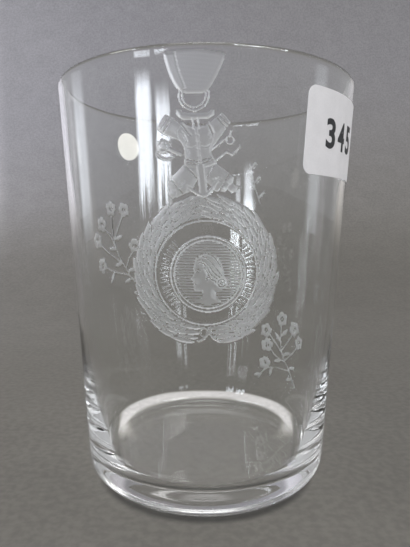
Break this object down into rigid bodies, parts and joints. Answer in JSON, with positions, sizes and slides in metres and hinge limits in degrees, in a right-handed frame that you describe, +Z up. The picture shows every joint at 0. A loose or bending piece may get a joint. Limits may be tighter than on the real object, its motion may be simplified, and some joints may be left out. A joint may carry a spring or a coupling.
{
  "type": "glass tumbler",
  "caption": "Tapered clear crystal tumbler with a heavy base, a medal and wreath engraved on the front, floral sprays behind, and two paper stickers.",
  "frame": {"origin": "centre of the underside, on the surface that the tumbler stands on", "axes": "+Z up along the tumbler's axis, -Y through the engraved medal, +X to the right of someone who faces the medal"},
  "size_m": [0.0714, 0.0714, 0.096],
  "materials": {
    "crystal": "clear polished crystal, matt where the figures are cut in",
    "white_paper": "smooth white label paper, semi-matt",
    "cream_paper": "cream sticker paper, matt"
  },
  "bodies": {
    "root": {"glass_body": "crystal", "lot_label": "white_paper", "dot_label": "cream_paper"}
  },
  "joints": []
}
